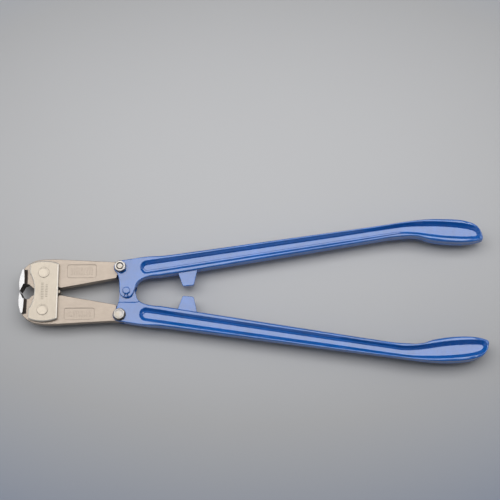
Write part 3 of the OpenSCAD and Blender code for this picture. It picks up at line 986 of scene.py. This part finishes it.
def hexagon_rings(low, high, chamfer_low, turn):
    """Side and chamfer rings of a hexagon whose corners are cut by an 18 degree cone at the top, and optionally
    below. The cone starts at 95 percent of the half width across the flats."""
    a = full_turn(144)
    r, waist = hexagon_radius(a), FLATS / 2 * 0.95
    cut = np.maximum(r - waist, 0) * math.tan(math.radians(18))
    bottom = [(waist, low), (r, low + cut)] if chamfer_low else [(r - 0.25, low), (r, low + 0.12)]
    top = [(r, high - cut - 0.05), (r - 0.06, high - cut + 0.02), (waist, high), (waist - 0.3, high)]
    return [circle(radius, z, a + turn) for radius, z in bottom + top]


def moved(solid, centre, side):
    """Moves a solid drawn about the link axis to its place; the lower set is turned over about the X axis."""
    solid.points = [np.column_stack([p[:, 0], p[:, 1] * side, p[:, 2] * side]) + [centre[0], centre[1] * side, 0]
                    for p in solid.points]
    return solid


def link_bolt(turn):
    """Hexagon bolt: chamfered head with a shallow dish, plain shank, rolled thread and a rounded point."""
    solid = Solid()
    under, tip = FACE + WASHER, FACE + WASHER + NUT_HEIGHT - 0.3
    crown = -under - HEAD_HEIGHT
    head = [r * [1, -1, -1] for r in hexagon_rings(under, under + HEAD_HEIGHT, False, turn)][::-1]
    dish = [(3.4, crown + 0.3), (4.4, crown + 0.28), (5.0, crown + 0.02)]
    shank = [(SHANK, -under), (SHANK, tip - 8.2)]
    for z in np.arange(tip - 8.0, tip - 0.9, 0.625):
        shank += [(SHANK, z), (SHANK - 0.38, z + 0.31)]
    shank += [(SHANK - 0.15, tip - 0.75), (SHANK - 0.8, tip - 0.05), (SHANK - 1.0, tip)]
    dish, shank = ([circle(radius, z, -full_turn(144) - turn) for radius, z in part] for part in (dish, shank))
    first, last = solid.skin(dish + head + shank, flip=True)
    solid.cap([last[::-1]])
    solid.cap([first[::-1]], flip=True)
    return solid


def link_nut(turn):
    """Hexagon nut chamfered on both faces, with a countersunk bore."""
    solid = Solid()
    low, high = FACE + WASHER, FACE + WASHER + NUT_HEIGHT
    bore = ((SHANK + 0.75, high), (SHANK + 0.08, high - 0.7), (SHANK + 0.08, low + 0.7), (SHANK + 0.75, low))
    rings = hexagon_rings(low, high, True, turn) + [circle(r, z, full_turn(144) + turn) for r, z in bore]
    first, last = solid.skin(rings)
    solid.wall(last, first)
    return solid


def washer_ring(low, high, hole, outer):
    """Flat washer with eased edges: a closed rectangle section with cut corners carried round the axis."""
    solid = Solid()
    section = [(hole, low + 0.1), (hole + 0.1, low), (outer - 0.2, low), (outer, low + 0.2),
               (outer, high - 0.35), (outer - 0.35, high), (hole + 0.1, high), (hole, high - 0.1)]
    first, last = solid.skin([circle(r, z, full_turn(96)) for r, z in section])
    solid.wall(last, first)
    return solid


def lock_washer(low, high):
    """Split spring washer pressed flat: a rectangle section carried round all but 12 degrees of a turn."""
    solid = Solid()
    section = [(4.2, low), (7.0, low), (7.0, high), (4.2, high)]
    ids = [solid.add([[r * math.cos(a), r * math.sin(a), z] for r, z in section])
           for a in np.radians(np.linspace(6, 354, 90))]
    for one, two in zip(ids[:-1], ids[1:]):
        solid.wall(one, two)
    solid.faces.append(ids[0][None, ::-1].copy())
    solid.faces.append(ids[-1][None, :].copy())
    return solid


class NIPPERS_OT_link_hardware(Operator):
    """Build the bolts, nuts and washers of both links"""

    bl_idname = "nippers.link_hardware"
    bl_label = "Link hardware"

    def execute(self, context):
        look = context.scene.nippers_look
        # painted shade: the washers get the bright zinc darkened to 0.16, a dark ring that stands for the shade round
        # the bolt head and the nut
        dark = bright_zinc(look, "washer_zinc_painted_shade", 0.16)
        rolled, zinc = bright_zinc(look, "bolt_zinc", 0.9), bright_zinc(look, "bright_zinc", 1.0)
        under = FACE + WASHER
        for side, which, turn in ((1, "upper", 0.22), (-1, "lower", 0.4)):
            pieces = (("bolt", "forged", link_bolt(turn), rolled, 12),
                      ("nut", "formed", link_nut(turn + 0.3), zinc, 12),
                      ("washer", "disc", washer_ring(-under, -FACE, 4.2, 8.0), dark, 30),
                      ("lock_washer", "ring", lock_washer(FACE, under), dark, 30))
            for kind, form, solid, finish, crease in pieces:
                node = f"{which}_link_{kind}"
                obj = moved(solid, LINK, side).mesh(kind)
                dress(obj, f"{node}_{form}", which + "_handle", "zinc", finish, node, crease=crease)
                outward(obj)
        return {"FINISHED"}


# ---------- Handle pivot ----------

class NIPPERS_OT_pivot(Operator):
    """Build the pivot pin and its lock screw"""

    bl_idname = "nippers.pivot"
    bl_label = "Handle pivot"

    def execute(self, context):
        paint = blue_enamel(context.scene.nippers_look)
        paint.name = "pivot_enamel"
        pin = [(2.0, -10.0), (4.0, -10.0), (4.0, 9.9), (4.9, 10.0), (4.9, 11.2), (4.7, 11.75), (4.2, 12.05),
               (3.2, 12.17), (1.5, 12.2)]
        dress(lathe(pin, PIVOT, 72).mesh("pin"), "handle_pivot_pin_turned", "upper_handle", "pivot_paint", paint,
              "handle_pivot_pin", crease=40)
        screw = [(0.5, 6.45), (1.2, 6.5), (1.2, 9.95), (1.9, 10.0), (1.9, 10.8), (1.6, 11.15), (0.9, 11.3)]
        screw = lathe(screw, LOCK_SCREW, 48).mesh("screw")
        slot = closed(LOCK_SCREW + [[-3, -0.3], [3, -0.3], [3, 0.3], [-3, 0.3]])
        carve(screw, [prism(slot, 10.7, 20)])
        dress(screw, "pivot_lock_screw_slotted", "upper_handle", "pivot_paint", paint, "pivot_lock_screw",
              crease=35)
        return {"FINISHED"}


# ---------- Stage ----------

def aim(obj, target):
    """Turns a light or the camera so that its -Z axis points at the target."""
    direction = Vector(target) - obj.location
    obj.rotation_euler = direction.to_track_quat("-Z", "Y").to_euler()


def softbox(name, spot, size, power, target):
    """A rectangular area light."""
    data = bpy.data.lights.new(name, "AREA")
    data.shape = "RECTANGLE"
    data.size, data.size_y = size
    data.energy = power
    obj = bpy.data.objects.new(name, data)
    obj.location = spot
    bpy.context.scene.collection.objects.link(obj)
    aim(obj, target)


class NIPPERS_OT_stage(Operator):
    """Lay the backdrop, hang the softboxes and set the camera"""

    bl_idname = "nippers.stage"
    bl_label = "Stage"

    def execute(self, context):
        look = context.scene.nippers_look
        span, count = 6.0, 24
        grid = np.linspace(-span, span, count)
        gx, gy = np.meshgrid(grid, grid)
        co = np.column_stack([gx.ravel(), gy.ravel(), np.zeros(count * count)])
        i = np.arange(count * (count - 1)).reshape(count - 1, count)[:, :-1].ravel()
        card = bpy.data.meshes.new("backdrop")
        card.from_pydata(co, [], np.column_stack([i, i + 1, i + count + 1, i + count]).tolist())
        card.materials.append(floor_card(look))
        backdrop = bpy.data.objects.new("backdrop", card)
        context.scene.collection.objects.link(backdrop)

        softbox("overhead", (0.0, 0.48, 1.7), (2.5, 1.1), look.key_power, (0, 0.05, 0))
        for name, x, target in (("left", -1.3, -0.29), ("right", 1.3, -0.1)):
            softbox(name, (x, 0.32, 0.85), (0.9, 0.9), look.key_power * 0.13, (target, 0, 0))

        world = bpy.data.worlds.new("studio")
        context.scene.world = world
        world.use_nodes = True
        background = world.node_tree.nodes["Background"]
        background.inputs["Color"].default_value = (0.75, 0.78, 0.85, 1)
        background.inputs["Strength"].default_value = 0.25

        data = bpy.data.cameras.new("camera")
        data.lens, data.sensor_width = 75.0, 36.0
        camera = bpy.data.objects.new("camera", data)
        context.scene.collection.objects.link(camera)
        tilt, roll, reach = math.radians(76.5), math.radians(-0.28), 1.33
        target = Vector((-0.0031, 0.0524, 0.026))
        camera.location = target + Vector((0, -math.cos(tilt), math.sin(tilt))) * reach
        aim(camera, target)
        camera.rotation_euler.rotate_axis("Z", roll)
        context.scene.camera = camera
        context.scene.view_settings.view_transform = "Standard"
        return {"FINISHED"}


# ---------- Panel and registration ----------

class NIPPERS_PT_panel(Panel):
    """Sidebar panel that lists the sizes, the finishes and the build steps"""

    bl_idname = "NIPPERS_PT_panel"
    bl_label = "End nippers"
    bl_space_type = "VIEW_3D"
    bl_region_type = "UI"
    bl_category = "Nippers"

    def draw(self, context):
        layout = self.layout
        for group in (context.scene.nippers_sizes, context.scene.nippers_look):
            for name in group.__annotations__:
                layout.prop(group, name)
        for operator in OPERATORS:
            layout.operator(operator.bl_idname)


OPERATORS = (NIPPERS_OT_handles, NIPPERS_OT_jaws, NIPPERS_OT_head, NIPPERS_OT_link_hardware,
             NIPPERS_OT_pivot, NIPPERS_OT_stage)
CLASSES = (NippersSizes, NippersLook, *OPERATORS, NIPPERS_PT_panel)


def register():
    """Registers the classes and hangs the two property groups on the scene."""
    for item in CLASSES:
        bpy.utils.register_class(item)
    bpy.types.Scene.nippers_sizes = PointerProperty(type=NippersSizes)
    bpy.types.Scene.nippers_look = PointerProperty(type=NippersLook)


def unregister():
    """Removes the property groups and the classes."""
    del bpy.types.Scene.nippers_look
    del bpy.types.Scene.nippers_sizes
    for item in reversed(CLASSES):
        bpy.utils.unregister_class(item)


def main():
    register()
    bpy.ops.nippers.handles()
    bpy.ops.nippers.jaws()
    bpy.ops.nippers.head()
    bpy.ops.nippers.link_hardware()
    bpy.ops.nippers.pivot()
    bpy.ops.nippers.stage()


if __name__ == "__main__":
    main()
